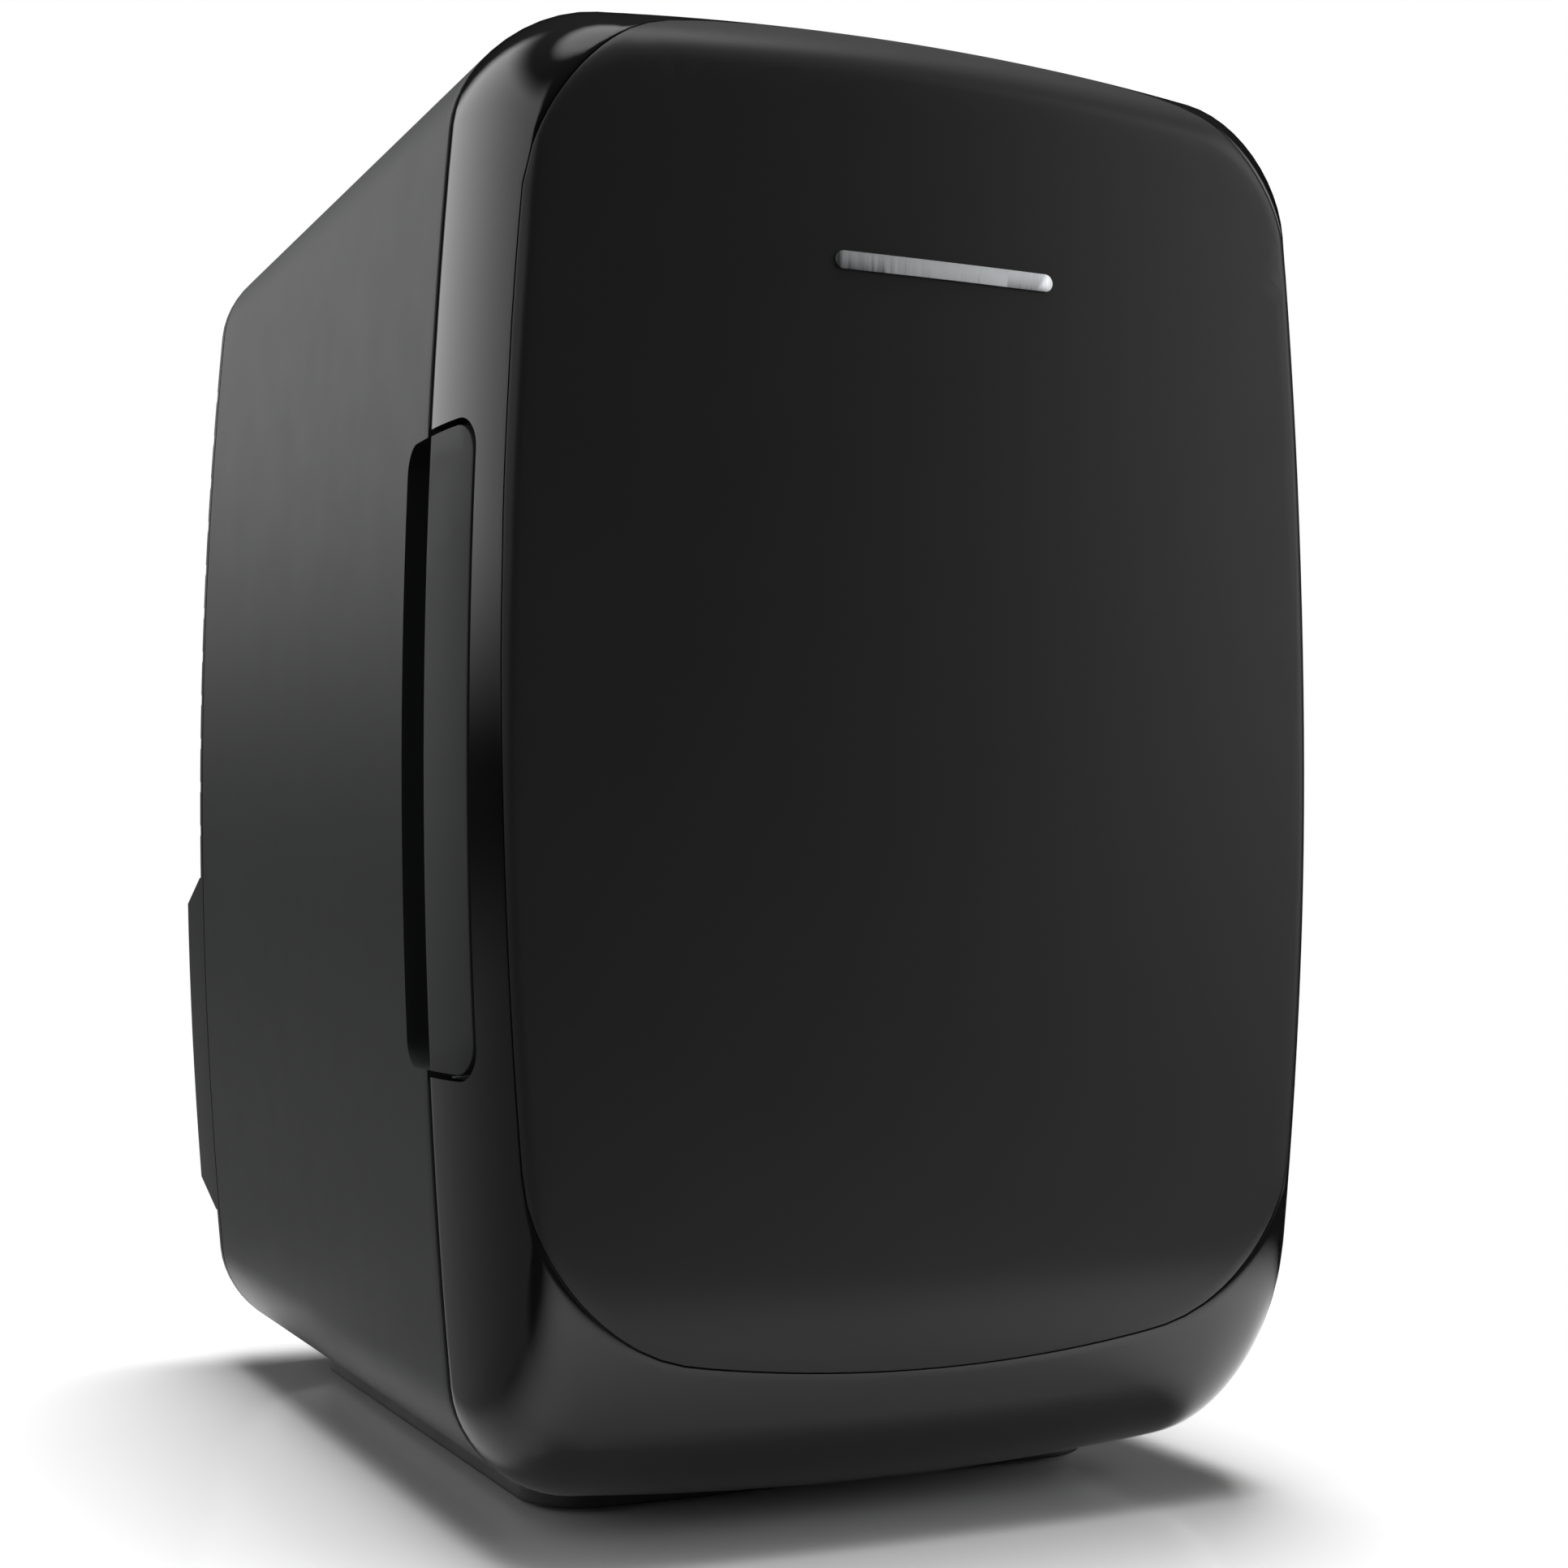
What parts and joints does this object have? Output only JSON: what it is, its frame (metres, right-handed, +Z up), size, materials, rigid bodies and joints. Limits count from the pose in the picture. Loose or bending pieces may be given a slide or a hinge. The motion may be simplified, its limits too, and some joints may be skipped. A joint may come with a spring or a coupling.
{
  "type": "mini fridge",
  "caption": "Small thermoelectric fridge: bowed cabinet, rolled glossy door on a side hinge with a grip on the free edge, louvred back with a service hump.",
  "frame": {"origin": "centre of the bounding box at floor level, under the feet", "axes": "+Z up, +X to the right of someone facing the door, +Y towards the back; the door faces -Y"},
  "size_m": [0.1746, 0.239, 0.275],
  "materials": {
    "satin_abs": "satin",
    "piano_black_abs": "gloss",
    "front_panel_acrylic": "gloss",
    "soft_grip": "matte",
    "black_abs": "matte",
    "liner_plastic": "satin",
    "foam": "matte",
    "rubber": "matte",
    "aluminium": "satin",
    "steel": "satin",
    "ceramic": "matte",
    "board": "satin",
    "clear_plastic": "gloss",
    "lamp_green": "gloss",
    "lamp_red": "gloss"
  },
  "bodies": {
    "cabinet": {"cabinet_shell": "satin_abs", "front_frame": "black_abs", "inner_liner": "liner_plastic", "foam_insulation": "foam", "shelf": "clear_plastic", "base_plinth": "black_abs", "back_cover": "satin_abs", "cold_plate": "aluminium", "cold_block": "aluminium", "peltier_module": "ceramic", "heat_sink": "aluminium", "fan_frame": "black_abs", "circuit_board": "board", "transformer": "steel", "capacitor_left": "black_abs", "capacitor_right": "black_abs", "mains_inlet": "black_abs", "low_voltage_inlet": "black_abs", "switch_bezel": "black_abs", "power_lamp_cold": "lamp_green", "power_lamp_warm": "lamp_red", "hinge_leaf_cabinet": "steel", "hinge_pin": "steel", "foot_front_left": "rubber", "foot_front_right": "rubber", "foot_rear_left": "rubber", "foot_rear_right": "rubber", "strike_plate_lower": "steel", "strike_plate_upper": "steel", "mains_pin_left": "steel", "low_voltage_pin_left": "steel", "cold_plate_screw_left": "steel", "mains_pin_right": "steel", "low_voltage_pin_right": "steel", "cold_plate_screw_right": "steel", "cover_screw_lower_left": "steel", "fan_screw_lower_left": "steel", "cover_screw_upper_left": "steel", "fan_screw_upper_left": "steel", "cover_screw_lower_right": "steel", "fan_screw_lower_right": "steel", "cover_screw_upper_right": "steel", "fan_screw_upper_right": "steel", "cabinet_hinge_screw_lower": "steel", "cabinet_hinge_screw_upper": "steel"},
    "door": {"door_bezel": "piano_black_abs", "door_panel": "front_panel_acrylic", "door_grip": "soft_grip", "door_liner": "liner_plastic", "door_foam": "foam", "door_gasket": "rubber", "door_bin": "clear_plastic", "door_badge": "aluminium", "hinge_leaf_door": "steel", "door_magnet_lower": "steel", "door_magnet_upper": "steel", "door_hinge_screw_lower": "steel", "door_hinge_screw_upper": "steel"},
    "fan_rotor": {"fan_rotor": "black_abs"},
    "mode_rocker": {"mode_rocker": "black_abs"}
  },
  "joints": [
    {"name": "door_hinge", "type": "hinge", "parent": "cabinet", "child": "door", "pos_m": [0.0841, -0.08683, 0.14], "axis": [0, 0, 1], "range_deg": [0, 110]},
    {"name": "fan_spin", "type": "hinge", "parent": "cabinet", "child": "fan_rotor", "pos_m": [0, 0.09116, 0.1835], "axis": [0, 1, 0], "continuous": true},
    {"name": "mode_switch", "type": "hinge", "parent": "cabinet", "child": "mode_rocker", "pos_m": [0.024, 0.11327, 0.0785], "axis": [1, 0, 0], "range_deg": [-12, 12]}
  ]
}
